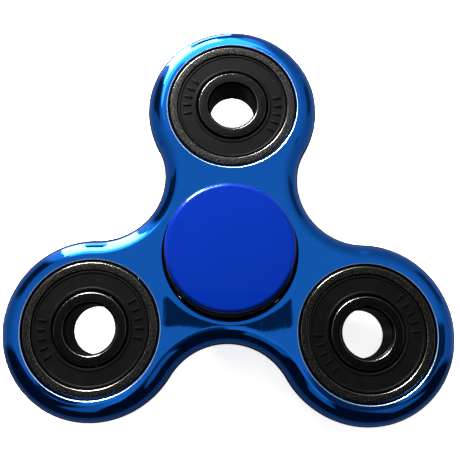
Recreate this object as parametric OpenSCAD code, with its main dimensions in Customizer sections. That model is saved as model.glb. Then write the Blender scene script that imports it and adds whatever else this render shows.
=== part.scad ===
// Three-lobed hand spinner: a plated shell with a ball bearing in each lobe,
// and a fourth bearing at the centre that two finger caps are pushed into.
// Millimetres. +Z is the spin axis and the origin is the centre of the middle
// bearing. The first lobe points along +Y.

/* [Shell] */
// Distance from the spin axis to the centre of each lobe
lobe_pitch_r = 25.7; // [22:0.1:30]
// Outer radius of each lobe
lobe_r = 14.8; // [13:0.1:17]
// Radius of the hollow waist between two lobes
waist_r = 11.0; // [8:0.1:14]
// Distance from the spin axis to the centre of each waist curve
waist_pitch_r = 25.9; // [22:0.1:30]
// Thickness of the shell
shell_t = 7.0; // [6:0.1:9]
// Radius that rounds the shell's top and bottom edges
edge_r = 3.0; // [1:0.1:3.3]
// Width and depth of the chamfer at each pocket mouth
pocket_chamfer = 0.28; // [0.1:0.02:0.5]
// Gap between a bearing and its pocket, taken up by adhesive
seat_gap = 0.03; // [0.02:0.01:0.1]

/* [Bearing] */
// Outer diameter of a bearing
bearing_d = 22.0; // [19:0.5:26]
// Diameter of the hole through the inner ring
bore_d = 8.0; // [5:0.5:10]
// Width of a bearing
bearing_w = 7.0; // [5:0.5:9]
// Outer diameter of the inner ring
inner_ring_d = 12.0; // [10:0.1:13]
// Diameter across the shoulders inside the outer ring
shoulder_d = 17.7; // [16:0.1:19]
// Diameter of the recess that holds each seal
seal_recess_d = 19.1; // [18:0.1:20]
// Depth of the recess that holds each seal
seal_recess_depth = 1.15; // [0.8:0.05:1.5]
// Diameter of a ball
ball_d = 3.96; // [3:0.01:4.5]
// Diameter of the circle through the ball centres
ball_pcd = 15.0; // [13:0.1:17]
// Gap between a ball and its grooves
ball_gap = 0.06; // [0.04:0.01:0.1]
// Chamfer on the outer ring's outside edges
outer_chamfer = 0.35; // [0.1:0.05:0.6]
// Chamfer at each end of the bore
bore_chamfer = 0.4; // [0.1:0.05:0.6]

/* [Ball cage] */
// Number of balls in a bearing
ball_count = 7; // [6:1:9]
// Thickness of the pressed cage strip
cage_t = 0.28; // [0.2:0.02:0.4]
// Inside and outside diameters of the cage
cage_d = [13.2, 16.9];
// Radius of a cage rivet
rivet_r = 0.32; // [0.2:0.02:0.5]
// Radius of a rivet's head
rivet_head_r = 0.52; // [0.4:0.02:0.7]

/* [Seal] */
// Outside diameter of a seal
seal_d = 18.94; // [18:0.02:19]
// Inside diameter of a seal's lip
seal_lip_d = 12.4; // [12.2:0.05:13]
// Height of a seal's inner and outer faces above the bearing's middle
seal_z = [2.62, 3.3];
// Height of the plain raised bars on a seal's face
mark_h = 0.07; // [0.03:0.01:0.15]
// Number of raised bars in each of the two groups on a seal
mark_count = 5; // [0:1:8]

/* [Finger caps] */
// Outer diameter of a finger cap
cap_d = 20.8; // [18:0.1:24]
// Height of a cap's outer face above the spinner's middle plane
cap_top_z = 8.5; // [6:0.1:11]
// Thickness of a cap's disc
cap_t = 3.6; // [2:0.1:5]
// Radius that rounds a cap's outer edge
cap_edge_r = 0.7; // [0.2:0.1:1.5]
// Diameter of the shoulder that a cap rests on
boss_d = 11.2; // [10:0.1:11.6]
// Diameter of the plug inside the bearing's bore
plug_d = 7.94; // [7:0.02:7.96]
// Diameter of the pin that joins the two caps
pin_d = 3.6; // [2:0.1:5]

/* [Hidden] */
$fn = 96;
lobe_angles = [90, 210, 330];
waist_angles = [150, 270, 30];
// turn of each seal's raised bars about its own bearing
mark_turns = [-11, 13, 25];
half_t = shell_t / 2;
half_w = bearing_w / 2;
pocket_r = bearing_d / 2 + seat_gap;
ball_r = ball_d / 2;
groove_r = ball_r + ball_gap;
ball_pitch_r = ball_pcd / 2;
ball_step = 360 / ball_count;
cage_hole_r = ball_r + 0.08;
cage_shell_r = cage_hole_r + cage_t;
// overlap that lets a waist curve run cleanly into the lobes beside it
waist_bite = 0.02;
// angle at a lobe's centre between its own axis and the line to a waist
lobe_half_angle = atan2(
    waist_pitch_r * sin(60),
    lobe_pitch_r - waist_pitch_r * cos(60)
);
function polar(r, a) = [r * cos(a), r * sin(a)];

// ---- shell ----

// the outline seen from above: three lobes joined by a waisted middle
module outline() {
    difference() {
        union() {
            polygon([for (i = [0:2]) each [
                polar(lobe_pitch_r, lobe_angles[i]),
                polar(waist_pitch_r, waist_angles[i])
            ]]);
            for (a = lobe_angles) translate(polar(lobe_pitch_r, a)) circle(lobe_r);
        }
        for (a = waist_angles)
            translate(polar(waist_pitch_r, a)) circle(waist_r + waist_bite);
    }
}

// what rounds the upper edge along the outside of a lobe
module lobe_edge(a) {
    open = lobe_half_angle + 3.6;
    translate(polar(lobe_pitch_r, a))
        rotate([0, 0, a + 180 + open])
        rotate_extrude(angle = 360 - 2 * open)
        translate([lobe_r - edge_r, half_t - edge_r])
        difference() {
            square([edge_r + 1, edge_r + 1]);
            circle(edge_r + 0.01);
        }
}

// what rounds the upper edge along the hollow between two lobes
module waist_edge(a) {
    translate(polar(waist_pitch_r, a))
        rotate_extrude()
        translate([waist_r + edge_r, half_t - edge_r])
        mirror([1, 0])
        difference() {
            square([edge_r + 1, edge_r + 1]);
            circle(edge_r + 0.01);
        }
}

// one bearing pocket with a chamfer at each mouth
module pocket() {
    cylinder(r = pocket_r, h = shell_t + 2, center = true);
    for (s = [0, 1]) mirror([0, 0, s])
        translate([0, 0, half_t - pocket_chamfer])
        cylinder(
            r1 = pocket_r, r2 = pocket_r + 2 * pocket_chamfer, h = 2 * pocket_chamfer
        );
}

module shell() {
    color([0.02, 0.36, 0.72])
        difference() {
            translate([0, 0, -half_t]) linear_extrude(shell_t) outline();
            for (s = [0, 1]) mirror([0, 0, s]) {
                for (a = lobe_angles) lobe_edge(a);
                for (a = waist_angles) waist_edge(a);
            }
            pocket();
            for (a = lobe_angles) translate(polar(lobe_pitch_r, a)) pocket();
        }
}

// ---- finger caps ----

// quarter of a disc in the +X +Y corner
module quarter(r) {
    intersection() {
        circle(r);
        square([r, r]);
    }
}

// a cap's disc with its outer edge rounded, as a profile to revolve
module cap_profile() {
    r = cap_d / 2;
    z0 = cap_top_z - cap_t;
    translate([0, z0]) square([r - cap_edge_r, cap_t]);
    translate([r - cap_edge_r, z0]) square([cap_edge_r, cap_t - cap_edge_r]);
    translate([r - cap_edge_r, cap_top_z - cap_edge_r]) quarter(cap_edge_r);
    translate([0, half_w]) square([boss_d / 2, z0 - half_w]);
}

module cap_top() {
    color([0.0, 0.2, 0.68]) {
        rotate_extrude() cap_profile();
        translate([0, 0, 0.1]) cylinder(d = plug_d, h = half_w - 0.1);
        translate([0, 0, -2.8]) cylinder(d = pin_d, h = 3);
    }
}

module cap_bottom() {
    color([0.0, 0.2, 0.68])
        mirror([0, 0, 1])
        difference() {
            union() {
                rotate_extrude() cap_profile();
                translate([0, 0, 0.1]) cylinder(d = plug_d, h = half_w - 0.1);
            }
            translate([0, 0, -1]) cylinder(d = pin_d + 0.06, h = 4.1);
        }
}

// ---- bearing pieces ----

// the groove that the balls run in
module ball_track() {
    rotate_extrude() translate([ball_pitch_r, 0]) circle(groove_r);
}

module outer_ring() {
    r = bearing_d / 2;
    c = outer_chamfer;
    step_z = half_w - seal_recess_depth;
    color([0.2, 0.19, 0.18])
        difference() {
            rotate_extrude() polygon([
                [shoulder_d / 2, -step_z], [seal_recess_d / 2, -step_z],
                [seal_recess_d / 2, -half_w], [r - c, -half_w], [r, c - half_w],
                [r, half_w - c], [r - c, half_w], [seal_recess_d / 2, half_w],
                [seal_recess_d / 2, step_z], [shoulder_d / 2, step_z]
            ]);
            ball_track();
        }
}

module inner_ring() {
    b = bore_d / 2;
    r = inner_ring_d / 2;
    c = bore_chamfer;
    e = 0.25;
    color([0.22, 0.22, 0.22])
        difference() {
            rotate_extrude() polygon([
                [b, c - half_w], [b + c, -half_w], [r - e, -half_w], [r, e - half_w],
                [r, half_w - e], [r - e, half_w], [b + c, half_w], [b, half_w - c]
            ]);
            ball_track();
        }
}

module ball(i) {
    color([0.8, 0.8, 0.82])
        rotate([0, 0, i * ball_step])
        translate([ball_pitch_r, 0, 0])
        sphere(ball_r);
}

// a plain ring standing on z = 0
module flat_ring(d0, d1, h) {
    linear_extrude(h) difference() {
        circle(d = d1);
        circle(d = d0);
    }
}

// round bars lying along each ball's radius, which shape the cage's pockets
module ball_bars(r) {
    for (i = [0:ball_count - 1])
        rotate([0, 0, i * ball_step])
        translate([ball_pitch_r - 2.5, 0, 0])
        rotate([0, 90, 0])
        cylinder(r = r, h = 5);
}

// one half of the riveted cage; the other half is its mirror image
module cage_half() {
    color([0.62, 0.6, 0.55])
        difference() {
            union() {
                flat_ring(cage_d[0], cage_d[1], cage_t);
                intersection() {
                    flat_ring(cage_d[0], cage_d[1], cage_shell_r + 0.1);
                    ball_bars(cage_shell_r);
                }
            }
            ball_bars(cage_hole_r);
            for (i = [0:ball_count - 1])
                rotate([0, 0, (i + 0.5) * ball_step])
                translate([ball_pitch_r, 0, -1])
                cylinder(r = rivet_r + 0.02, h = 3);
        }
}

// the rivets that hold the two cage halves together
module rivets() {
    head_h = 0.2;
    color([0.7, 0.68, 0.62])
        for (i = [0:ball_count - 1])
        rotate([0, 0, (i + 0.5) * ball_step])
        translate([ball_pitch_r, 0, 0]) {
            cylinder(r = rivet_r, h = 2 * cage_t + 0.1, center = true);
            for (s = [0, 1]) mirror([0, 0, s])
                translate([0, 0, cage_t + 0.01])
                cylinder(r1 = rivet_head_r, r2 = rivet_head_r - 0.12, h = head_h);
        }
}

// a rubber seal with a shallow trough and two groups of plain raised bars
module seal(turn) {
    r0 = seal_lip_d / 2;
    r1 = seal_d / 2;
    z0 = seal_z[0];
    z1 = seal_z[1];
    mark_r = (r0 + r1) / 2;
    color([0.1, 0.1, 0.11]) {
        rotate_extrude() polygon([
            [r0, z0], [r1, z0], [r1, z1 - 0.15], [r1 - 0.15, z1], [r1 - 0.4, z1],
            [r1 - 0.55, z1 - 0.1], [r0 + 0.55, z1 - 0.1], [r0 + 0.4, z1],
            [r0 + 0.15, z1], [r0, z1 - 0.15]
        ]);
        for (side = [0, 180], i = [0:mark_count - 1])
            rotate([0, 0, side + turn + 11 * (i - (mark_count - 1) / 2)])
            translate([mark_r - 0.5, -0.14, z1 - 0.2])
            cube([1.0, 0.28, 0.1 + mark_h]);
    }
}

// ---- placing the bearings ----

module at_lobe(k) {
    translate(polar(lobe_pitch_r, lobe_angles[k])) children();
}

// all the pieces of one bearing whose node names begin with stem
module bearing(stem, turn) {
    outer_ring();
    inner_ring();
    cage_half();
    mirror([0, 0, 1]) cage_half();
    rivets();
    seal(turn);
    rotate([180, 0, 0]) seal(turn);
    for (i = [1:ball_count])
        ball(i - 1);
}

shell();
cap_top();
cap_bottom();
bearing("hub", 0);
at_lobe(0) bearing("lobe_a", mark_turns[0]);
at_lobe(1) bearing("lobe_b", mark_turns[1]);
at_lobe(2) bearing("lobe_c", mark_turns[2]);
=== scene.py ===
"""Three-lobed hand spinner: a plated shell, four ball bearings and two finger caps.

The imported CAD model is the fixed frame.  Every piece that shows is modelled again with
softer edges and finer detail, and rides on its CAD body.  The balls, cages and rivets
inside the bearings keep their CAD meshes and get new finishes.
"""

import logging
import math
from collections.abc import Callable, Iterable, Sequence
from dataclasses import dataclass
from enum import Enum

import bpy
from mathutils import Euler, Matrix, Vector

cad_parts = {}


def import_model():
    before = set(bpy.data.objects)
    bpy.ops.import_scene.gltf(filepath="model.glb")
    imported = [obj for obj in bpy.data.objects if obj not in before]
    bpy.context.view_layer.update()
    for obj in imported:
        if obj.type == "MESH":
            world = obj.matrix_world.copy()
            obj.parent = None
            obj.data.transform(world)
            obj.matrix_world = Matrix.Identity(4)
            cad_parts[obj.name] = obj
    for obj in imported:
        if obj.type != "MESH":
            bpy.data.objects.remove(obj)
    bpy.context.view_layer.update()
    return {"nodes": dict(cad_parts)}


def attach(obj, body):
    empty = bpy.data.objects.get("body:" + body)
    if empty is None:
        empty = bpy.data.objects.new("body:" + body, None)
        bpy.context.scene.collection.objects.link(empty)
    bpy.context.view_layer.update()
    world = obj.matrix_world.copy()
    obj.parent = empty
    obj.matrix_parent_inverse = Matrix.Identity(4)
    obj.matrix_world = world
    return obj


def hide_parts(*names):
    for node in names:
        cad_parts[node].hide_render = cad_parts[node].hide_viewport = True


LOG = logging.getLogger("spinner")
MM = 0.001
WELD = 1e-6
COAT_ROUGH = 0.03
Point = tuple[float, float]


class Body(str, Enum):
    """The CAD bodies that the new pieces ride on."""

    HUB = "hub"
    ROTOR = "rotor"
    LOBE_A_INNER = "lobe_a_inner"
    LOBE_B_INNER = "lobe_b_inner"
    LOBE_C_INNER = "lobe_c_inner"


class Slot(str, Enum):
    """Names of material slots; here they only tell the rings from the seals."""

    SHELL = "plated_shell"
    CAP = "cap"
    RING = "ring_steel"
    SEAL = "seal_rubber"


# ---- small tools ----


def linear(hex_code: str) -> tuple[float, float, float, float]:
    """Turns an sRGB hex colour into linear light.

    Args:
        hex_code: Six hex digits, red first.

    Returns:
        Red, green, blue and a full alpha, all from 0 to 1.
    """
    channels = []
    for start in (0, 2, 4):
        value = int(hex_code[start : start + 2], 16) / 255
        if value <= 0.04045:
            channels.append(value / 12.92)
        else:
            channels.append(((value + 0.055) / 1.055) ** 2.4)
    return channels[0], channels[1], channels[2], 1.0


def per_metre(feature_mm: float) -> float:
    """Returns the texture scale whose features are this many millimetres wide."""
    return 1 / (feature_mm * MM)


def polar(radius: float, degrees: float) -> Vector:
    """Returns the point in the XY plane at this radius and angle."""
    turn = math.radians(degrees)
    return Vector((radius * math.cos(turn), radius * math.sin(turn), 0.0))


def add_node(
    tree: bpy.types.NodeTree,
    kind: str,
    settings: dict[str | int, object] | None = None,
    links: dict[str | int, bpy.types.NodeSocket] | None = None,
) -> bpy.types.Node:
    """Adds a node with its settings and its incoming links.

    Args:
        tree: The node tree to add to.
        kind: The node's type name.
        settings: Values for the node's properties, or for its inputs by name or place.
        links: Sockets to join to the node's inputs, by input name or place.

    Returns:
        The new node.
    """
    node = tree.nodes.new(kind)
    for key, value in (settings or {}).items():
        if isinstance(key, str) and hasattr(node, key):
            setattr(node, key, value)
        else:
            node.inputs[key].default_value = value
    for key, source in (links or {}).items():
        tree.links.new(source, node.inputs[key])
    return node


def deselect() -> None:
    """Leaves edit mode and clears the selection."""
    if bpy.context.object is not None and bpy.context.object.mode != "OBJECT":
        bpy.ops.object.mode_set(mode="OBJECT")
    bpy.ops.object.select_all(action="DESELECT")


def pick(obj: bpy.types.Object) -> None:
    """Makes this the only selected object, and the active one."""
    deselect()
    obj.select_set(True)
    bpy.context.view_layer.objects.active = obj


def edit(obj: bpy.types.Object, select: str = "VERT") -> None:
    """Enters edit mode on an object with nothing selected.

    Args:
        obj: The mesh object.
        select: The kind of element to select: VERT, EDGE or FACE.
    """
    pick(obj)
    bpy.ops.object.mode_set(mode="EDIT")
    bpy.ops.mesh.select_mode(type=select)
    bpy.ops.mesh.select_all(action="DESELECT")


def close_up(obj: bpy.types.Object) -> None:
    """Welds doubles and turns the faces outwards."""
    edit(obj)
    bpy.ops.mesh.select_all(action="SELECT")
    bpy.ops.mesh.remove_doubles(threshold=WELD)
    bpy.ops.mesh.normals_make_consistent(inside=False)
    bpy.ops.object.mode_set(mode="OBJECT")


def apply_modifier(obj: bpy.types.Object, kind: str, **settings: object) -> None:
    """Adds a modifier and applies it at once.

    Args:
        obj: The mesh object.
        kind: The modifier's type name.
        **settings: Values for the modifier's properties.
    """
    pick(obj)
    modifier = obj.modifiers.new(kind.lower(), kind)
    for key, value in settings.items():
        setattr(modifier, key, value)
    bpy.ops.object.modifier_apply(modifier=modifier.name)


def smooth(obj: bpy.types.Object, degrees: float = 35.0) -> None:
    """Smooths the shading up to an angle, and keeps flat faces flat.

    Args:
        obj: The mesh object.
        degrees: The sharpest angle that is still shaded smooth.
    """
    pick(obj)
    bpy.ops.object.shade_smooth_by_angle(angle=math.radians(degrees))
    apply_modifier(obj, "WEIGHTED_NORMAL", weight=90, keep_sharp=True)


def merge(obj: bpy.types.Object, others: Iterable[bpy.types.Object], how: str) -> None:
    """Cuts or unites other solids with this one, and deletes them.

    Args:
        obj: The solid that stays.
        others: The solids to cut away or to add.
        how: DIFFERENCE or UNION.
    """
    tools = list(others)
    pick(tools[0])
    for tool in tools:
        tool.select_set(True)
    if len(tools) > 1:
        bpy.ops.object.join()
    tool = bpy.context.object
    apply_modifier(obj, "BOOLEAN", operation=how, solver="EXACT", object=tool)
    bpy.data.objects.remove(tool)


def copied(master: bpy.types.Object, name: str, place: Matrix) -> bpy.types.Object:
    """Copies a piece with its own mesh, and moves the copy's mesh to its place.

    Args:
        master: The piece to copy.
        name: The copy's name.
        place: Where the copy goes.

    Returns:
        The copy, whose object sits at the origin.
    """
    piece = master.copy()
    piece.data = master.data.copy()
    piece.name = piece.data.name = name
    bpy.context.scene.collection.objects.link(piece)
    piece.data.transform(place)
    return piece


@dataclass(frozen=True)
class Corner:
    """One corner of a turned profile, in millimetres, and the radius that rounds it."""

    r: float
    z: float
    round: float = 0.0
    steps: int = 4


def drawn(corners: Sequence[Corner], closed: bool) -> list[Point]:
    """Draws a profile through its corners, each rounded by its own radius.

    Args:
        corners: The corners in order.
        closed: Whether the last corner joins the first.

    Returns:
        The profile's points, in millimetres.
    """
    points: list[Point] = []
    count = len(corners)
    for i, corner in enumerate(corners):
        here = Vector((corner.r, corner.z))
        at_end = not closed and i in (0, count - 1)
        if corner.round <= 0 or at_end:
            points.append((here.x, here.y))
            continue
        before = corners[i - 1]
        after = corners[(i + 1) % count]
        back = (Vector((before.r, before.z)) - here).normalized()
        on = (Vector((after.r, after.z)) - here).normalized()
        half = back.angle(on) / 2
        reach = corner.round / math.tan(half)
        centre = here + (back + on).normalized() * (corner.round / math.sin(half))
        start = here + back * reach - centre
        sweep = start.angle_signed(here + on * reach - centre)
        for k in range(corner.steps + 1):
            arm = start.copy()
            arm.rotate(Matrix.Rotation(-sweep * k / corner.steps, 2))
            points.append((centre.x + arm.x, centre.y + arm.y))
    return points


def mirrored(corners: Sequence[Corner]) -> list[Corner]:
    """Returns the same corners below the middle plane, in reverse order."""
    return [Corner(c.r, -c.z, c.round, c.steps) for c in reversed(corners)]


def groove(
    centre_r: float, radius: float, reach: float, steps: int = 10
) -> list[Point]:
    """Draws the ball groove's arc from its upper end to its lower end.

    Args:
        centre_r: Distance from the axis to the centre of the arc.
        radius: The arc's radius.
        reach: Signed distance from the arc's centre to the wall that it is cut in.
        steps: Number of straight steps along the arc.

    Returns:
        The arc's points, in millimetres.
    """
    half = math.acos(abs(reach) / radius)
    side = math.copysign(1, reach)
    return [
        (
            centre_r + side * radius * math.cos(half * (1 - 2 * k / steps)),
            radius * math.sin(half * (1 - 2 * k / steps)),
        )
        for k in range(steps + 1)
    ]


def turned(
    name: str, points: Sequence[Point], closed: bool, steps: int = 144
) -> bpy.types.Object:
    """Turns a profile about the Z axis, as on a lathe.

    Args:
        name: The new object's name.
        points: The profile's radius and height at each point, in millimetres.
        closed: Whether the last point joins the first.  An open profile starts and
            ends on the axis.
        steps: Number of steps round the axis.

    Returns:
        The turned solid.
    """
    deselect()
    bpy.ops.mesh.primitive_plane_add(size=MM)
    obj = bpy.context.object
    obj.name = obj.data.name = name
    edit(obj)
    bpy.ops.mesh.select_all(action="SELECT")
    bpy.ops.mesh.merge(type="CENTER")
    bpy.ops.transform.translate(value=(points[0][0] * MM, 0, points[0][1] * MM))
    for (r0, z0), (r1, z1) in zip(points, points[1:]):
        step = ((r1 - r0) * MM, 0, (z1 - z0) * MM)
        bpy.ops.mesh.extrude_vertices_move(TRANSFORM_OT_translate={"value": step})
    if closed:
        edit(obj)
        bpy.ops.object.mode_set(mode="OBJECT")
        vertices = obj.data.vertices
        vertices[0].select = vertices[len(vertices) - 1].select = True
        bpy.ops.object.mode_set(mode="EDIT")
        bpy.ops.mesh.edge_face_add()
    bpy.ops.mesh.select_all(action="SELECT")
    bpy.ops.mesh.spin(
        steps=steps, angle=math.tau, center=(0, 0, 0), axis=(0, 0, 1)
    )
    close_up(obj)
    return obj


# ---- finishes ----


@dataclass(frozen=True)
class Finish:
    """A procedural finish, made the first time that a piece asks for it."""

    name: str

    def material(self) -> bpy.types.Material:
        """Returns the finish's material, and makes it if it isn't there yet."""
        made = bpy.data.materials.get(self.name)
        if made is None:
            made = bpy.data.materials.new(self.name)
            made.use_nodes = True
            made.node_tree.nodes.clear()
            self.draw(made.node_tree)
        return made

    def draw(self, tree: bpy.types.NodeTree) -> None:
        """Draws the finish's nodes.  Each kind of finish has its own."""
        raise NotImplementedError

    def dress(self, piece: bpy.types.Object) -> None:
        """Gives this finish to every face of a piece."""
        if piece.material_slots:
            for place in piece.material_slots:
                place.material = self.material()
        else:
            piece.data.materials.append(self.material())

    def surface(
        self,
        tree: bpy.types.NodeTree,
        settings: dict[str | int, object],
        links: dict[str | int, bpy.types.NodeSocket],
        relief: bpy.types.NodeSocket | None = None,
        height_mm: float = 0.0,
    ) -> None:
        """Ends the tree with one principled surface.

        Args:
            tree: The material's node tree.
            settings: Values that are the same all over.
            links: Sockets that vary over the surface.
            relief: The pattern that stands up from the surface, if there is one.
            height_mm: How far it stands up, in millimetres.
        """
        if relief is not None:
            bump = add_node(
                tree,
                "ShaderNodeBump",
                {"Strength": 1.0, "Distance": height_mm * MM},
                {"Height": relief},
            )
            links = {**links, "Normal": bump.outputs["Normal"]}
        shader = add_node(tree, "ShaderNodeBsdfPrincipled", settings, links)
        add_node(
            tree,
            "ShaderNodeOutputMaterial",
            links={"Surface": shader.outputs["BSDF"]},
        )


@dataclass(frozen=True)
class PlatedLacquer(Finish):
    """Moulded ABS, vacuum plated with aluminium and sealed under clear blue lacquer.

    The plating gives a mirror, the dye in the lacquer takes out nearly all the red, and
    the soft wobble of the moulding bends what the mirror shows.
    """

    colour: str = "0458B4"
    coat: float = 0.13
    rough: float = 0.035
    wobble_mm: float = 7.0
    wobble_height_mm: float = 0.045
    peel_mm: float = 0.8
    peel_height_mm: float = 0.0006
    hairline_mm: float = 0.35
    hairline_turn: float = 0.6
    hairline_stretch: float = 0.03
    hairline_dull: float = 0.10
    speck_mm: float = 2.2
    speck_dull: float = 0.35

    def draw(self, tree: bpy.types.NodeTree) -> None:
        """Draws wobble, orange peel, hairlines and dust under a thin clear coat."""
        place = add_node(tree, "ShaderNodeTexCoord").outputs["Object"]
        wobble = add_node(
            tree,
            "ShaderNodeTexNoise",
            {"Scale": per_metre(self.wobble_mm), "Detail": 1.0, "Roughness": 0.4},
            {"Vector": place},
        )
        peel = add_node(
            tree,
            "ShaderNodeTexNoise",
            {"Scale": per_metre(self.peel_mm), "Detail": 2.0},
            {"Vector": place},
        )
        # hairlines from handling: noise drawn out along one direction
        drawn_out = add_node(
            tree,
            "ShaderNodeMapping",
            {
                "Rotation": (0.0, 0.0, self.hairline_turn),
                "Scale": (1.0, self.hairline_stretch, 1.0),
            },
            {"Vector": place},
        )
        hairline = add_node(
            tree,
            "ShaderNodeTexNoise",
            {"Scale": per_metre(self.hairline_mm), "Detail": 3.0},
            {"Vector": drawn_out.outputs["Vector"]},
        )
        scuffed = add_node(
            tree,
            "ShaderNodeMapRange",
            {
                "From Min": 0.56,
                "From Max": 0.75,
                "To Min": 0.0,
                "To Max": self.hairline_dull,
            },
            {"Value": hairline.outputs["Fac"]},
        )
        specks = add_node(
            tree,
            "ShaderNodeTexVoronoi",
            {"Scale": per_metre(self.speck_mm), "Randomness": 1.0},
            {"Vector": place},
        )
        dusty = add_node(
            tree,
            "ShaderNodeMapRange",
            {
                "From Min": 0.045,
                "From Max": 0.02,
                "To Min": 0.0,
                "To Max": self.speck_dull,
            },
            {"Value": specks.outputs["Distance"]},
        )
        marks = add_node(
            tree,
            "ShaderNodeMath",
            {"operation": "ADD"},
            {0: scuffed.outputs["Result"], 1: dusty.outputs["Result"]},
        )
        rough = add_node(
            tree,
            "ShaderNodeMath",
            {"operation": "ADD", 1: self.rough},
            {0: marks.outputs["Value"]},
        )
        wavy = add_node(
            tree,
            "ShaderNodeBump",
            {"Strength": 1.0, "Distance": self.wobble_height_mm * MM},
            {"Height": wobble.outputs["Fac"]},
        )
        peeled = add_node(
            tree,
            "ShaderNodeBump",
            {"Strength": 1.0, "Distance": self.peel_height_mm * MM},
            {"Height": peel.outputs["Fac"], "Normal": wavy.outputs["Normal"]},
        )
        self.surface(
            tree,
            {
                "Base Color": linear(self.colour),
                "Metallic": 1.0,
                "Coat Weight": self.coat,
                "Coat Roughness": COAT_ROUGH,
            },
            {
                "Roughness": rough.outputs["Value"],
                "Normal": peeled.outputs["Normal"],
                "Coat Normal": peeled.outputs["Normal"],
            },
        )


@dataclass(frozen=True)
class SatinCap(Finish):
    """Plated cap under deep blue satin lacquer.

    The matting agent in the lacquer spreads the light, so the face is one even blue
    with a very fine grain, and only the turned edge catches a line of light.
    """

    # half metal and hardly specular: a fit for plating under dense lacquer, lit by
    # this studio, and not the values of one plain substance
    colour: str = "001C6F"
    rough: float = 0.38
    metal: float = 0.45
    specular: float = 0.02
    coat: float = 0.06
    grain_mm: float = 0.35
    grain_height_mm: float = 0.006
    handled_mm: float = 6.0
    handled_change: float = 0.05

    def draw(self, tree: bpy.types.NodeTree) -> None:
        """Draws a fine satin grain with slow changes of gloss from handling."""
        place = add_node(tree, "ShaderNodeTexCoord").outputs["Object"]
        # the real grain is about 0.05 mm; it is drawn coarser so that it shows
        grain = add_node(
            tree,
            "ShaderNodeTexNoise",
            {"Scale": per_metre(self.grain_mm), "Detail": 3.0},
            {"Vector": place},
        )
        handled = add_node(
            tree,
            "ShaderNodeTexNoise",
            {"Scale": per_metre(self.handled_mm), "Detail": 3.0},
            {"Vector": place},
        )
        rough = add_node(
            tree,
            "ShaderNodeMapRange",
            {
                "To Min": self.rough - self.handled_change,
                "To Max": self.rough + self.handled_change,
            },
            {"Value": handled.outputs["Fac"]},
        )
        self.surface(
            tree,
            {
                "Base Color": linear(self.colour),
                "Metallic": self.metal,
                "Specular IOR Level": self.specular,
                "Coat Weight": self.coat,
                "Coat Roughness": COAT_ROUGH,
            },
            {"Roughness": rough.outputs["Result"]},
            grain.outputs["Fac"],
            self.grain_height_mm,
        )


@dataclass(frozen=True)
class BlackedSteel(Finish):
    """Ground bearing steel, blackened with a hot oxide.

    The oxide is dark and half dull; the ground tips of the metal show through it as
    fine grey flecks.
    """

    dark: str = "101010"
    fleck: str = "5A5854"
    rough: float = 0.42
    grain_mm: float = 0.22
    grain_height_mm: float = 0.012
    fleck_share: float = 0.6
    gloss_change: float = 0.12

    def draw(self, tree: bpy.types.NodeTree) -> None:
        """Draws dark oxide with grey flecks and a grain to match them."""
        place = add_node(tree, "ShaderNodeTexCoord").outputs["Object"]
        # grinding leaves a grain of about 0.1 mm; it is drawn coarser so that it shows
        grain = add_node(
            tree,
            "ShaderNodeTexNoise",
            {"Scale": per_metre(self.grain_mm), "Detail": 3.0, "Roughness": 0.65},
            {"Vector": place},
        )
        flecks = add_node(
            tree,
            "ShaderNodeMapRange",
            {
                "From Min": 0.52,
                "From Max": 0.66,
                "To Min": 0.0,
                "To Max": self.fleck_share,
            },
            {"Value": grain.outputs["Fac"]},
        )
        colour = add_node(
            tree,
            "ShaderNodeMix",
            {
                "data_type": "RGBA",
                6: linear(self.dark),
                7: linear(self.fleck),
            },
            {0: flecks.outputs["Result"]},
        )
        rough = add_node(
            tree,
            "ShaderNodeMapRange",
            {
                "To Min": self.rough + self.gloss_change,
                "To Max": self.rough - self.gloss_change,
            },
            {"Value": grain.outputs["Fac"]},
        )
        self.surface(
            tree,
            {"Metallic": 1.0},
            {"Base Color": colour.outputs[2], "Roughness": rough.outputs["Result"]},
            grain.outputs["Fac"],
            self.grain_height_mm,
        )


@dataclass(frozen=True)
class SealRubber(Finish):
    """Moulded nitrile rubber.

    It is near black with a low satin sheen, a fine skin from the mould and a trace of
    grey dust.
    """

    # darker and duller than bare nitrile, to balance the very bright window lamps
    colour: str = "030303"
    dust: str = "111112"
    dust_mm: float = 2.5
    dust_share: float = 0.3
    rough: float = 0.5
    ior: float = 1.52
    specular: float = 0.035
    skin_mm: float = 0.3
    skin_height_mm: float = 0.004

    def draw(self, tree: bpy.types.NodeTree) -> None:
        """Draws the moulded skin with faint dust."""
        place = add_node(tree, "ShaderNodeTexCoord").outputs["Object"]
        skin = add_node(
            tree,
            "ShaderNodeTexNoise",
            {"Scale": per_metre(self.skin_mm), "Detail": 2.0},
            {"Vector": place},
        )
        cloud = add_node(
            tree,
            "ShaderNodeTexNoise",
            {"Scale": per_metre(self.dust_mm), "Detail": 6.0, "Roughness": 0.7},
            {"Vector": place},
        )
        dusty = add_node(
            tree,
            "ShaderNodeMapRange",
            {
                "From Min": 0.5,
                "From Max": 0.8,
                "To Min": 0.0,
                "To Max": self.dust_share,
            },
            {"Value": cloud.outputs["Fac"]},
        )
        colour = add_node(
            tree,
            "ShaderNodeMix",
            {"data_type": "RGBA", 6: linear(self.colour), 7: linear(self.dust)},
            {0: dusty.outputs["Result"]},
        )
        rough = add_node(
            tree,
            "ShaderNodeMapRange",
            {"To Min": self.rough - 0.08, "To Max": self.rough + 0.12},
            {"Value": cloud.outputs["Fac"]},
        )
        self.surface(
            tree,
            {"IOR": self.ior, "Specular IOR Level": self.specular},
            {"Base Color": colour.outputs[2], "Roughness": rough.outputs["Result"]},
            skin.outputs["Fac"],
            self.skin_height_mm,
        )


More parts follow.
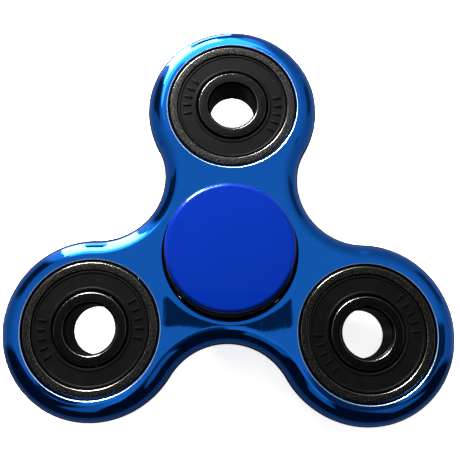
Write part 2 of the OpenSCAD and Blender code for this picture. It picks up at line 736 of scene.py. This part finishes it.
@dataclass(frozen=True)
class BareSteel(Finish):
    """Bare steel, ground and lapped for balls or rolled and pressed for cages.

    The finer the last step, the sharper the reflection; what is left of the grain makes
    faint streaks in the gloss.
    """

    colour: str = "C9C8C6"
    rough: float = 0.12
    grain_mm: float = 0.4
    grain_height_mm: float = 0.001

    def draw(self, tree: bpy.types.NodeTree) -> None:
        """Draws bare metal with a grain in its gloss and its relief."""
        place = add_node(tree, "ShaderNodeTexCoord").outputs["Object"]
        grain = add_node(
            tree,
            "ShaderNodeTexNoise",
            {"Scale": per_metre(self.grain_mm), "Detail": 4.0},
            {"Vector": place},
        )
        rough = add_node(
            tree,
            "ShaderNodeMapRange",
            {"To Min": self.rough * 0.6, "To Max": self.rough * 1.5},
            {"Value": grain.outputs["Fac"]},
        )
        self.surface(
            tree,
            {"Base Color": linear(self.colour), "Metallic": 1.0},
            {"Roughness": rough.outputs["Result"]},
            grain.outputs["Fac"],
            self.grain_height_mm,
        )


@dataclass(frozen=True)
class MattCard(Finish):
    """Matt card with a little light of its own, so that it reads as evenly lit."""

    colour: str = "F4F4F4"
    glow: float = 0.86
    tooth_mm: float = 1.5
    tooth_height_mm: float = 0.02
    tooth_strength: float = 0.2

    def draw(self, tree: bpy.types.NodeTree) -> None:
        """Draws matt card with a light of its own and a faint paper tooth."""
        place = add_node(tree, "ShaderNodeTexCoord").outputs["Object"]
        tooth = add_node(
            tree,
            "ShaderNodeTexNoise",
            {"Scale": per_metre(self.tooth_mm), "Detail": 2.0},
            {"Vector": place},
        )
        bump = add_node(
            tree,
            "ShaderNodeBump",
            {"Strength": self.tooth_strength, "Distance": self.tooth_height_mm * MM},
            {"Height": tooth.outputs["Fac"]},
        )
        self.surface(
            tree,
            {
                "Base Color": linear(self.colour),
                "Roughness": 0.9,
                "Emission Color": linear(self.colour),
                "Emission Strength": self.glow,
            },
            {"Normal": bump.outputs["Normal"]},
        )


PLATED_ABS = PlatedLacquer("abs_chrome_plated_blue_lacquer")
# painted highlight: paler, rougher plating draws a bright line round each pocket mouth
PLATED_RIM_HIGHLIGHT = PlatedLacquer(
    "abs_chrome_plated_painted_rim_highlight", colour="A4C2EA", rough=0.26
)
CAP_LACQUER = SatinCap("cap_satin_blue_lacquer")
# fingers polish the satin off the rim, so it catches a thin line of light
CAP_RIM = SatinCap("cap_rubbed_blue_lacquer", rough=0.22, coat=0.6)
OUTER_RING_STEEL = BlackedSteel("bearing_steel_ground_black_oxide")
INNER_RING_STEEL = BlackedSteel(
    "bearing_steel_turned_black_oxide",
    dark="0C0C0C",
    fleck="343331",
    rough=0.36,
    grain_mm=0.3,
    grain_height_mm=0.006,
    fleck_share=0.2,
)
NITRILE = SealRubber("nitrile_rubber_moulded")
# handling rubs the oxide off the sharpest edges, down to grey metal
RUBBED_STEEL = BareSteel("bearing_steel_rubbed_edge", "8A8780", 0.24, 0.4, 0.002)
BALL_STEEL = BareSteel("chrome_steel_lapped", rough=0.05, grain_height_mm=0.0002)
CAGE_STEEL = BareSteel("steel_strip_pressed", "B5B2AA", 0.28, 0.5, 0.002)
RIVET_STEEL = BareSteel("steel_rivet_headed", "BDB9B0", 0.22, 0.3, 0.002)
PAPER = MattCard("white_card_matt")
DARK_CARD = MattCard("grey_card_matt", colour="3C3C3C", glow=1.6)


# ---- the spinner ----


def settle(
    piece: bpy.types.Object,
    finish: Finish,
    body: Body,
    nodes: Sequence[str],
) -> bpy.types.Object:
    """Dresses a finished piece and fixes it to its CAD body.

    Args:
        piece: The finished piece.
        finish: Its finish.
        body: The CAD body it rides on.
        nodes: The CAD nodes that it stands for.

    Returns:
        The piece.
    """
    finish.dress(piece)
    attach(piece, body.value)
    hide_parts(*nodes)
    count = len(piece.data.polygons)
    LOG.info("%s rides on %s, %d faces", piece.name, body.value, count)
    return piece


def wear(
    piece: bpy.types.Object,
    finish: Finish,
    picked: Callable[[bpy.types.MeshPolygon], bool],
) -> None:
    """Gives some faces of a dressed piece a second, worn finish.

    Args:
        piece: The dressed piece.
        finish: The worn finish.
        picked: Tells whether a face is worn.
    """
    piece.data.materials.append(finish.material())
    for face in piece.data.polygons:
        if picked(face):
            face.material_index = len(piece.data.materials) - 1


@dataclass
class Shell:
    """The plated shell: three lobes round a hub, with a pocket for each bearing."""

    lobe_pitch_r: float = 25.7
    lobe_r: float = 14.8
    waist_pitch_r: float = 25.9
    thickness: float = 7.0
    edge_r: float = 3.0
    edge_steps: int = 16
    pocket_r: float = 11.03
    mouth_out: float = 0.28
    mouth_r: float = 0.15
    mouth_sweep: float = 70.0
    hub_lip_out: float = 1.45
    hub_lip_r: float = 11.5
    hub_lip_sweep: float = 6.0
    mouth_depth: float = 0.4
    mouth_steps: int = 5
    lobe_steps: int = 120
    waist_steps: int = 48
    lobe_angles: tuple[float, ...] = (90.0, 210.0, 330.0)
    waist_angles: tuple[float, ...] = (150.0, 270.0, 30.0)

    def half_angle(self) -> float:
        """Returns the angle at a lobe's centre between the hub and a waist."""
        apart = math.radians(self.waist_angles[0] - self.lobe_angles[0])
        across = self.waist_pitch_r * math.sin(apart)
        along = self.lobe_pitch_r - self.waist_pitch_r * math.cos(apart)
        return math.degrees(math.atan2(across, along))

    def outline(self) -> bpy.types.Object:
        """Draws the outline by spinning one vertex through lobes and waists in turn."""
        deselect()
        bpy.ops.mesh.primitive_plane_add(size=MM)
        obj = bpy.context.object
        obj.name = obj.data.name = "shell_plated"
        edit(obj)
        bpy.ops.mesh.select_all(action="SELECT")
        bpy.ops.mesh.merge(type="CENTER")
        open_half = self.half_angle()
        start_turn = self.lobe_angles[0] + 180 + open_half
        start = polar(self.lobe_pitch_r, self.lobe_angles[0]) + polar(
            self.lobe_r, start_turn
        )
        height = self.thickness / 2 * MM
        bpy.ops.transform.translate(value=(start.x * MM, start.y * MM, height))
        lobe_sweep = 360 - 2 * open_half
        waist_sweep = lobe_sweep - 360 / len(self.lobe_angles)
        for lobe, waist in zip(self.lobe_angles, self.waist_angles):
            self.arc(polar(self.lobe_pitch_r, lobe), lobe_sweep, self.lobe_steps)
            self.arc(polar(self.waist_pitch_r, waist), -waist_sweep, self.waist_steps)
        bpy.ops.mesh.select_all(action="SELECT")
        bpy.ops.mesh.remove_doubles(threshold=10 * WELD)
        bpy.ops.mesh.edge_face_add()
        bpy.ops.object.mode_set(mode="OBJECT")
        return obj

    def arc(self, centre: Vector, degrees: float, steps: int) -> None:
        """Spins the selected vertex about an upright axis.

        Args:
            centre: Where the axis stands, in millimetres.
            degrees: How far it turns, to the left when positive.
            steps: Number of steps.
        """
        # the spin operator counts its angle the other way round
        bpy.ops.mesh.spin(
            steps=steps,
            angle=-math.radians(degrees),
            center=tuple(centre * MM),
            axis=(0, 0, 1),
        )

    def thicken(self, obj: bpy.types.Object) -> None:
        """Extrudes the outline to its thickness and rounds both its edges."""
        edit(obj, "FACE")
        bpy.ops.mesh.select_all(action="SELECT")
        down = (0, 0, -self.thickness * MM)
        bpy.ops.mesh.extrude_region_move(TRANSFORM_OT_translate={"value": down})
        close_up(obj)
        edit(obj, "EDGE")
        bpy.ops.object.mode_set(mode="OBJECT")
        heights = [vertex.co.z for vertex in obj.data.vertices]
        for edge in obj.data.edges:
            first, second = edge.vertices
            edge.select = abs(heights[first] - heights[second]) < WELD
        bpy.ops.object.mode_set(mode="EDIT")
        bpy.ops.mesh.bevel(
            offset=self.edge_r * MM,
            segments=self.edge_steps,
            profile=0.5,
            affect="EDGES",
            clamp_overlap=False,
        )
        bpy.ops.object.mode_set(mode="OBJECT")

    def pocket_tool(self, out: float, arcs: Sequence[Point]) -> bpy.types.Object:
        """Turns a cutter that leaves a pocket with rounded mouths.

        Args:
            out: How far the mouth opens beyond the pocket's wall, in millimetres.
            arcs: Each arc's radius in millimetres, and its slope where it ends, in
                degrees, from the flat inwards.

        Returns:
            The cutter, standing at the hub.
        """
        half = self.thickness / 2
        reach, height, slope = self.pocket_r + out, half, 0.0
        points: list[Point] = [(0, half + 0.5), (reach, half + 0.5), (reach, height)]
        for radius, end in arcs:
            for k in range(1, self.mouth_steps + 1):
                turn = math.radians(slope + (end - slope) * k / self.mouth_steps)
                first = math.radians(slope)
                points.append(
                    (
                        reach - radius * (math.sin(turn) - math.sin(first)),
                        height - radius * (math.cos(first) - math.cos(turn)),
                    )
                )
            (reach, height), slope = points[-1], end
        points.append((self.pocket_r, height - self.mouth_depth))
        points += [(r, -z) for r, z in reversed(points)]
        return turned("pocket_tool", points, closed=False)

    def pocket_tools(self) -> list[bpy.types.Object]:
        """Makes the cutters of all four pockets."""
        edge = (self.mouth_r, self.mouth_sweep)
        lip = (self.hub_lip_r, self.hub_lip_sweep)
        master = self.pocket_tool(self.mouth_out, [edge])
        tools = [
            copied(master, "pocket_tool", Matrix.Translation(centre * MM))
            for centre in self.lobe_centres()
        ]
        bpy.data.objects.remove(master)
        return [*tools, self.pocket_tool(self.hub_lip_out, [lip, edge])]

    def build(self) -> None:
        """Builds the shell, cuts its pockets and dresses it."""
        obj = self.outline()
        self.thicken(obj)
        merge(obj, self.pocket_tools(), "DIFFERENCE")
        close_up(obj)
        smooth(obj)
        settle(obj, PLATED_ABS, Body.ROTOR, ["shell"])
        # painted highlight line on the lobe pockets' mouths
        wear(obj, PLATED_RIM_HIGHLIGHT, self.at_mouth)

    def lobe_centres(self) -> list[Vector]:
        """Returns the centres of the three lobe pockets, in millimetres."""
        return [polar(self.lobe_pitch_r, angle) for angle in self.lobe_angles]

    def at_mouth(self, face: bpy.types.MeshPolygon) -> bool:
        """Tells whether a face is on the rounded edge of a lobe's pocket."""
        far = self.pocket_r + self.mouth_out
        reach = min(
            (face.center - centre * MM).xy.length for centre in self.lobe_centres()
        )
        height = abs(face.center.z) / MM
        low = self.thickness / 2 - self.mouth_r
        return far - self.mouth_r < reach / MM < far and height > low


@dataclass
class FingerCaps:
    """Two round caps that plug into the middle bearing from above and below."""

    disc_r: float = 10.4
    top_z: float = 8.5
    disc_t: float = 3.6
    edge_r: float = 0.7
    boss_r: float = 5.6
    plug_r: float = 3.97
    plug_z: float = 0.1
    bearing_z: float = 3.5
    pin_r: float = 1.8
    pin_z: float = -2.8
    socket_r: float = 1.83
    socket_z: float = 3.1
    rim_tilt: tuple[float, float] = (0.2, 0.93)

    def disc_corners(self) -> list[Corner]:
        """Returns the corners that both caps share, from the face down to the plug."""
        under = self.top_z - self.disc_t
        return [
            Corner(0, self.top_z),
            Corner(self.disc_r, self.top_z, self.edge_r, 8),
            Corner(self.disc_r, under, 0.2, 3),
            Corner(self.boss_r, under, 0.15, 3),
            Corner(self.boss_r, self.bearing_z, 0.1, 2),
            Corner(self.plug_r, self.bearing_z, 0.08, 2),
            Corner(self.plug_r, self.plug_z, 0.3, 2),
        ]

    def build(self) -> None:
        """Turns both caps and dresses them."""
        pin = [
            Corner(self.pin_r, self.plug_z, 0.08, 2),
            Corner(self.pin_r, self.pin_z, 0.25, 3),
            Corner(0, self.pin_z),
        ]
        upper = turned("cap_top_satin", drawn(self.disc_corners() + pin, False), False)
        socket = [
            Corner(self.socket_r, self.plug_z, 0.12, 2),
            Corner(self.socket_r, self.socket_z, 0.08, 2),
            Corner(0, self.socket_z),
        ]
        points = drawn(self.disc_corners() + socket, False)
        lower = turned("cap_bottom_satin", [(r, -z) for r, z in points], False)
        for piece, node in ((upper, "cap_top"), (lower, "cap_bottom")):
            smooth(piece)
            settle(piece, CAP_LACQUER, Body.HUB, [node])
            wear(piece, CAP_RIM, self.at_rim)

    def at_rim(self, face: bpy.types.MeshPolygon) -> bool:
        """Tells whether a face is on the steeper part of the disc's rounded rim."""
        outside = face.center.xy.length > (self.disc_r - self.edge_r) * MM
        low, high = self.rim_tilt
        return outside and low < abs(face.normal.z) < high


@dataclass(frozen=True)
class Seat:
    """Where one bearing sits, and what its parts ride on."""

    stem: str
    centre: tuple[float, float]
    mark_turn: float
    inner_body: Body


@dataclass
class BearingMaker:
    """Makes one ball bearing's rings and seals, and copies them to every seat."""

    outer_r: float = 11.0
    bore_r: float = 4.0
    width: float = 7.0
    inner_r: float = 6.0
    shoulder_r: float = 8.85
    recess_r: float = 9.55
    recess_depth: float = 1.15
    groove_r: float = 2.04
    pitch_r: float = 7.5
    outer_bevel: float = 0.35
    bore_bevel: float = 0.4
    inner_bevel: float = 0.25
    break_r: float = 0.07
    seal_in_r: float = 6.2
    seal_out_r: float = 9.47
    seal_z: tuple[float, float] = (2.62, 3.3)
    trough: float = 0.1
    lip: float = 0.16
    mark_size: tuple[float, float, float] = (1.35, 0.34, 0.24)
    mark_z: float = 3.36
    mark_step: float = 11.0
    mark_count: int = 5
    mark_bevel: float = 0.035
    worn_depth: float = 0.2
    worn_tilt: tuple[float, float] = (0.75, 0.97)

    def outer_ring(self) -> bpy.types.Object:
        """Turns the outer ring with its ball groove and its two seal recesses."""
        half, bevel, edge = self.width / 2, self.outer_bevel, self.break_r
        step = half - self.recess_depth
        upper = [
            Corner(self.shoulder_r, step, edge, 2),
            Corner(self.recess_r, step, edge, 2),
            Corner(self.recess_r, half, 0.11, 4),
            Corner(self.outer_r - bevel, half, edge, 3),
            Corner(self.outer_r, half - bevel, edge, 3),
        ]
        arc = groove(self.pitch_r, self.groove_r, self.shoulder_r - self.pitch_r)
        corners = upper + mirrored(upper) + [Corner(r, z) for r, z in reversed(arc)]
        return turned("outer_ring", drawn(corners, True), True)

    def inner_ring(self) -> bpy.types.Object:
        """Turns the inner ring with its ball groove and the bore's chamfers."""
        half, edge = self.width / 2, self.break_r
        upper = [
            Corner(self.bore_r, half - self.bore_bevel, edge, 3),
            Corner(self.bore_r + self.bore_bevel, half, edge, 3),
            Corner(self.inner_r - self.inner_bevel, half, edge, 3),
            Corner(self.inner_r, half - self.inner_bevel, edge, 3),
        ]
        arc = groove(self.pitch_r, self.groove_r, self.inner_r - self.pitch_r)
        corners = upper + [Corner(r, z) for r, z in arc] + mirrored(upper)
        return turned("inner_ring", drawn(corners, True), True)

    def seal(self) -> bpy.types.Object:
        """Turns a seal with its two lips, and moulds the raised bars onto its face."""
        r0, r1 = self.seal_in_r, self.seal_out_r
        z0, z1 = self.seal_z
        floor = z1 - self.trough
        corners = [
            Corner(r0 - self.lip, z0, 0.03, 2),
            Corner(r0 - self.lip, z0 + 0.2, 0.05, 2),
            Corner(r0, z0 + 0.4, 0.05, 2),
            Corner(r0, z1 - 0.15, 0.05, 2),
            Corner(r0 + 0.15, z1, 0.06, 3),
            Corner(r0 + 0.4, z1, 0.06, 3),
            Corner(r0 + 0.55, floor, 0.08, 3),
            Corner(r1 - 0.55, floor, 0.08, 3),
            Corner(r1 - 0.4, z1, 0.06, 3),
            Corner(r1, z1, 0.26, 5),
            Corner(r1, z0, 0.05, 2),
        ]
        obj = turned("seal", drawn(corners, True), True)
        merge(obj, self.bars(), "UNION")
        close_up(obj)
        return obj

    def bars(self) -> list[bpy.types.Object]:
        """Makes the plain raised bars in two groups, each bar lying along a radius."""
        length, breadth, height = (size * MM for size in self.mark_size)
        deselect()
        bpy.ops.mesh.primitive_cube_add(size=1)
        master = bpy.context.object
        edit(master)
        bpy.ops.mesh.select_all(action="SELECT")
        bpy.ops.transform.resize(value=(length, breadth, height))
        radius = (self.seal_in_r + self.seal_out_r) / 2 * MM
        rise = self.mark_z * MM - height / 2
        bpy.ops.transform.translate(value=(radius, 0, rise))
        bpy.ops.object.mode_set(mode="OBJECT")
        apply_modifier(master, "BEVEL", width=self.mark_bevel * MM, segments=2)
        middle = (self.mark_count - 1) / 2
        made = []
        for side in (0, 180):
            for i in range(self.mark_count):
                turn = math.radians(side + self.mark_step * (i - middle))
                made.append(copied(master, "bar", Matrix.Rotation(turn, 4, "Z")))
        bpy.data.objects.remove(master)
        return made

    def at_edge(self, face: bpy.types.MeshPolygon) -> bool:
        """Tells whether a face is on the break between a ring's side and its bevel."""
        low, high = self.worn_tilt
        deep = (self.width / 2 - self.worn_depth) * MM
        return abs(face.center.z) > deep and low < abs(face.normal.z) < high

    def build(self, seats: Sequence[Seat]) -> None:
        """Makes each part once and copies it to every seat.

        Args:
            seats: Where the bearings sit.
        """
        outer, inner, seal = self.outer_ring(), self.inner_ring(), self.seal()
        for master in (outer, inner, seal):
            smooth(master)
        over = Matrix.Rotation(math.pi, 4, "X")
        for seat in seats:
            place = Matrix.Translation(Vector((*seat.centre, 0)) * MM)
            turn = Matrix.Rotation(math.radians(seat.mark_turn), 4, "Z")
            flipped = place @ over @ turn
            ring, rubber, rotor = Slot.RING, Slot.SEAL, Body.ROTOR
            jobs = (
                ("outer_ring", outer, place, OUTER_RING_STEEL, ring, rotor),
                ("inner_ring", inner, place, INNER_RING_STEEL, ring, seat.inner_body),
                ("seal_top", seal, place @ turn, NITRILE, rubber, rotor),
                ("seal_bottom", seal, flipped, NITRILE, rubber, rotor),
            )
            for part, master, where, finish, slot, body in jobs:
                node = f"{seat.stem}_{part}"
                piece = copied(master, f"{node}_fine", where)
                settle(piece, finish, body, [node])
                if slot is Slot.RING:
                    wear(piece, RUBBED_STEEL, self.at_edge)
        for master in (outer, inner, seal):
            bpy.data.objects.remove(master)


def dress_inside(nodes: dict[str, bpy.types.Object]) -> None:
    """Gives the CAD pieces inside the bearings their finishes.

    Args:
        nodes: The CAD nodes by name.
    """
    kinds = (
        ("_ball_", BALL_STEEL),
        ("_cage_", CAGE_STEEL),
        ("_rivets", RIVET_STEEL),
        ("_ring", OUTER_RING_STEEL),
        ("_seal_", NITRILE),
        ("shell", PLATED_ABS),
        ("cap_", CAP_LACQUER),
    )
    for name, node in nodes.items():
        for mark, finish in kinds:
            if mark in name:
                finish.dress(node)
                LOG.info("%s keeps its CAD mesh, in %s", name, finish.name)
                break


# ---- the studio ----


@dataclass(frozen=True)
class SkyPatch:
    """A soft-edged patch of the room, by compass angle and angle from overhead."""

    azimuth: float
    polar: float
    half_azimuth: float
    half_polar: float
    level: float
    soft: float = 4.0


@dataclass(frozen=True)
class Softbox:
    """A lit rectangle that faces the spinner."""

    name: str
    azimuth: float
    polar: float
    across: float
    high: float
    radiance: float
    distance: float = 0.6

    def build(self) -> None:
        """Hangs the lamp, with its size worked out from the angles that it fills."""
        side = math.radians(self.azimuth)
        fall = math.radians(self.polar)
        towards = Vector(
            (
                math.sin(fall) * math.cos(side),
                math.sin(fall) * math.sin(side),
                math.cos(fall),
            )
        )
        lamp = bpy.data.lights.new(self.name, "AREA")
        lamp.shape = "RECTANGLE"
        lamp.size = 2 * self.distance * math.tan(math.radians(self.across / 2))
        lamp.size_y = 2 * self.distance * math.tan(math.radians(self.high / 2))
        lamp.energy = self.radiance * math.pi * lamp.size * lamp.size_y
        stand = bpy.data.objects.new(self.name, lamp)
        stand.location = towards * self.distance
        stand.rotation_euler = towards.to_track_quat("Z", "Y").to_euler()
        stand.visible_camera = False
        bpy.context.scene.collection.objects.link(stand)
        LOG.info("lamp %s at %.0f, %.0f degrees", self.name, self.azimuth, self.polar)


@dataclass
class Studio:
    """A pale floor and backdrop, a window of softboxes and a dim room round them."""

    floor_z: float = -8.52
    flag_mm: tuple[float, float, float, float] = (-21.0, 21.0, -9.0, 1.5)
    flag_z: float = 101.0
    flag_corner_mm: float = 2.0
    floor_r: float = 2.5
    backdrop_r: float = 2.4
    backdrop_rise: float = 1.6
    curl_steps: int = 8
    overhead: float = 0.90
    overhead_to: float = 15.0
    horizon: float = 0.50
    horizon_from: float = 60.0
    # light levels listed one by one, so that the plating mirrors a room and not a blank
    patches: tuple[SkyPatch, ...] = (
        # the window's own glow on the wall round it
        SkyPatch(104, 50, 27, 24, 2.4, 14),
        SkyPatch(121, 84, 13, 30, 1.8, 10),
        # the dark table below, and the dark side of the room
        SkyPatch(0, 180, 180, 50, 0.03, 20),
        SkyPatch(0, 27, 8, 15, 0.1, 4),
        SkyPatch(268, 55, 80, 36, 0.03, 6),
        SkyPatch(270, 112, 82, 21, 0.22, 6),
        SkyPatch(204, 24, 14, 12, 0.06, 4),
        SkyPatch(300, 14, 45, 7, 0.15, 4),
        # pale gaps in it
        SkyPatch(247, 31, 14, 15, 0.60, 4),
        SkyPatch(258, 15, 13, 9, 1.15, 4),
        SkyPatch(317, 31, 13, 13, 0.55, 4),
        SkyPatch(203, 14, 5, 5, 1.2, 3),
        # furniture against the pale walls
        SkyPatch(30, 70, 11, 15, 0.18, 6),
        SkyPatch(148, 62, 13, 20, 0.08, 5),
        SkyPatch(97, 75, 12, 9, 0.25, 3),
    )
    softboxes: tuple[Softbox, ...] = (
        Softbox("window_upper", 106, 46, 31, 32, 4.5),
        Softbox("window_sky", 112, 56, 27, 20, 80.0),
        Softbox("window_lower", 119, 75, 15, 24, 75.0),
        Softbox("window_foot", 119, 96, 15, 20, 40.0),
        Softbox("window_sill", 101, 98, 20, 22, 6.0),
    )

    def sheet(self, name: str, radius: float, rise: float) -> bpy.types.Object:
        """Turns a round sheet of card with its rim curled up.

        Args:
            name: The sheet's name.
            radius: Radius of its flat part, in metres.
            rise: Height of its rim, in metres.

        Returns:
            The sheet, hidden from reflections, bounced light and shadows.
        """
        points: list[Point] = [(0, self.floor_z), (radius / MM, self.floor_z)]
        if rise > 0:
            curl = rise / MM
            for k in range(1, self.curl_steps + 1):
                turn = math.radians(90 * k / self.curl_steps)
                points.append(
                    (
                        radius / MM + curl * math.sin(turn),
                        self.floor_z + curl * (1 - math.cos(turn)),
                    )
                )
        obj = turned(name, points, closed=False, steps=64)
        pick(obj)
        bpy.ops.object.shade_smooth()
        PAPER.dress(obj)
        obj.visible_glossy = obj.visible_diffuse = obj.visible_shadow = False
        obj.visible_transmission = False
        return obj

    def flag(self) -> None:
        """Hangs the small dark card that stands for the camera's own body."""
        low_x, high_x, low_y, high_y = self.flag_mm
        deselect()
        bpy.ops.mesh.primitive_plane_add(size=MM)
        obj = bpy.context.object
        obj.name = obj.data.name = "camera_flag"
        edit(obj)
        bpy.ops.mesh.select_all(action="SELECT")
        bpy.ops.transform.resize(value=(high_x - low_x, high_y - low_y, 1))
        middle = ((low_x + high_x) / 2, (low_y + high_y) / 2, self.flag_z)
        bpy.ops.transform.translate(value=Vector(middle) * MM)
        bpy.ops.mesh.bevel(
            offset=self.flag_corner_mm * MM, segments=6, affect="VERTICES"
        )
        bpy.ops.object.mode_set(mode="OBJECT")
        DARK_CARD.dress(obj)
        obj.visible_camera = obj.visible_shadow = obj.visible_diffuse = False

    def room(self) -> None:
        """Draws the room as light levels by direction."""
        world = bpy.data.worlds.new("dim_room")
        bpy.context.scene.world = world
        world.use_nodes = True
        tree = world.node_tree
        tree.nodes.clear()
        ray = add_node(tree, "ShaderNodeTexCoord").outputs["Generated"]
        parts = add_node(tree, "ShaderNodeSeparateXYZ", links={"Vector": ray})
        azimuth = add_node(
            tree,
            "ShaderNodeMath",
            {"operation": "ARCTAN2"},
            {0: parts.outputs["Y"], 1: parts.outputs["X"]},
        )
        fall = add_node(
            tree,
            "ShaderNodeMath",
            {"operation": "ARCCOSINE"},
            {0: parts.outputs["Z"]},
        )
        base = add_node(
            tree,
            "ShaderNodeMapRange",
            {
                "From Min": math.radians(self.overhead_to),
                "From Max": math.radians(self.horizon_from),
                "To Min": self.overhead,
                "To Max": self.horizon,
            },
            {"Value": fall.outputs["Value"]},
        )
        level = base.outputs["Result"]
        for patch in self.patches:
            level = self.lay(tree, patch, azimuth, fall, level)
        glow = add_node(tree, "ShaderNodeBackground", links={"Color": level})
        add_node(
            tree, "ShaderNodeOutputWorld", links={"Surface": glow.outputs["Background"]}
        )

    def lay(
        self,
        tree: bpy.types.NodeTree,
        patch: SkyPatch,
        azimuth: bpy.types.Node,
        fall: bpy.types.Node,
        level: bpy.types.NodeSocket,
    ) -> bpy.types.NodeSocket:
        """Lays one patch over the light levels below it.

        Args:
            tree: The world's node tree.
            patch: The patch to lay.
            azimuth: The node that gives the compass angle.
            fall: The node that gives the angle from overhead.
            level: The level so far.

        Returns:
            The new level.
        """
        soft = math.radians(patch.soft)
        masks = []
        for source, middle, half in (
            (azimuth, patch.azimuth, patch.half_azimuth),
            (fall, patch.polar, patch.half_polar),
        ):
            off = add_node(
                tree,
                "ShaderNodeMath",
                {"operation": "SUBTRACT", 1: math.radians(middle)},
                {0: source.outputs["Value"]},
            )
            wrapped = add_node(
                tree,
                "ShaderNodeMath",
                {"operation": "WRAP", 1: math.pi, 2: -math.pi},
                {0: off.outputs["Value"]},
            )
            away = add_node(
                tree,
                "ShaderNodeMath",
                {"operation": "ABSOLUTE"},
                {0: wrapped.outputs["Value"]},
            )
            masks.append(
                add_node(
                    tree,
                    "ShaderNodeMapRange",
                    {
                        "interpolation_type": "SMOOTHSTEP",
                        "From Min": math.radians(half) - soft / 2,
                        "From Max": math.radians(half) + soft / 2,
                        "To Min": 1.0,
                        "To Max": 0.0,
                    },
                    {"Value": away.outputs["Value"]},
                ).outputs["Result"]
            )
        both = add_node(
            tree,
            "ShaderNodeMath",
            {"operation": "MULTIPLY"},
            {0: masks[0], 1: masks[1]},
        )
        mixed = add_node(
            tree,
            "ShaderNodeMix",
            {"data_type": "FLOAT", 3: patch.level},
            {0: both.outputs["Value"], 2: level},
        )
        return mixed.outputs[0]

    def build(self) -> None:
        """Lays the floor and backdrop, hangs the lamps and draws the room."""
        self.sheet("floor_card", self.floor_r, 0.0)
        self.sheet("backdrop_card", self.backdrop_r, self.backdrop_rise)
        self.flag()
        for lamp in self.softboxes:
            lamp.build()
        self.room()


@dataclass
class View:
    """The camera, close above the spinner and a little towards its lower edge."""

    location_mm: tuple[float, float, float] = (-0.402, -16.213, 100.677)
    turn_degrees: tuple[float, float, float] = (11.53, -0.371, 0.875)
    lens_mm: float = 46.95
    sensor_mm: float = 36.0
    nearest_m: float = 0.005

    def build(self) -> None:
        """Makes the camera and shows colours as they are."""
        data = bpy.data.cameras.new("camera")
        data.lens = self.lens_mm
        data.sensor_width = self.sensor_mm
        data.clip_start = self.nearest_m
        camera = bpy.data.objects.new("camera", data)
        camera.location = Vector(self.location_mm) * MM
        camera.rotation_euler = Euler([math.radians(a) for a in self.turn_degrees])
        bpy.context.scene.collection.objects.link(camera)
        bpy.context.scene.camera = camera
        bpy.context.scene.view_settings.view_transform = "Standard"


def main() -> None:
    """Builds the spinner round its frame, then the studio and the camera."""
    logging.basicConfig(level=logging.INFO, format="%(message)s")
    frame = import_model()
    dress_inside(frame["nodes"])
    shell = Shell()
    shell.build()
    FingerCaps().build()
    seats = [Seat("hub", (0.0, 0.0), 0.0, Body.HUB)]
    lobes = (
        ("lobe_a", -11.0, Body.LOBE_A_INNER),
        ("lobe_b", 13.0, Body.LOBE_B_INNER),
        ("lobe_c", 25.0, Body.LOBE_C_INNER),
    )
    for angle, (stem, turn, body) in zip(shell.lobe_angles, lobes):
        centre = polar(shell.lobe_pitch_r, angle)
        seats.append(Seat(stem, (centre.x, centre.y), turn, body))
    BearingMaker().build(seats)
    Studio().build()
    View().build()


if __name__ == "__main__":
    main()
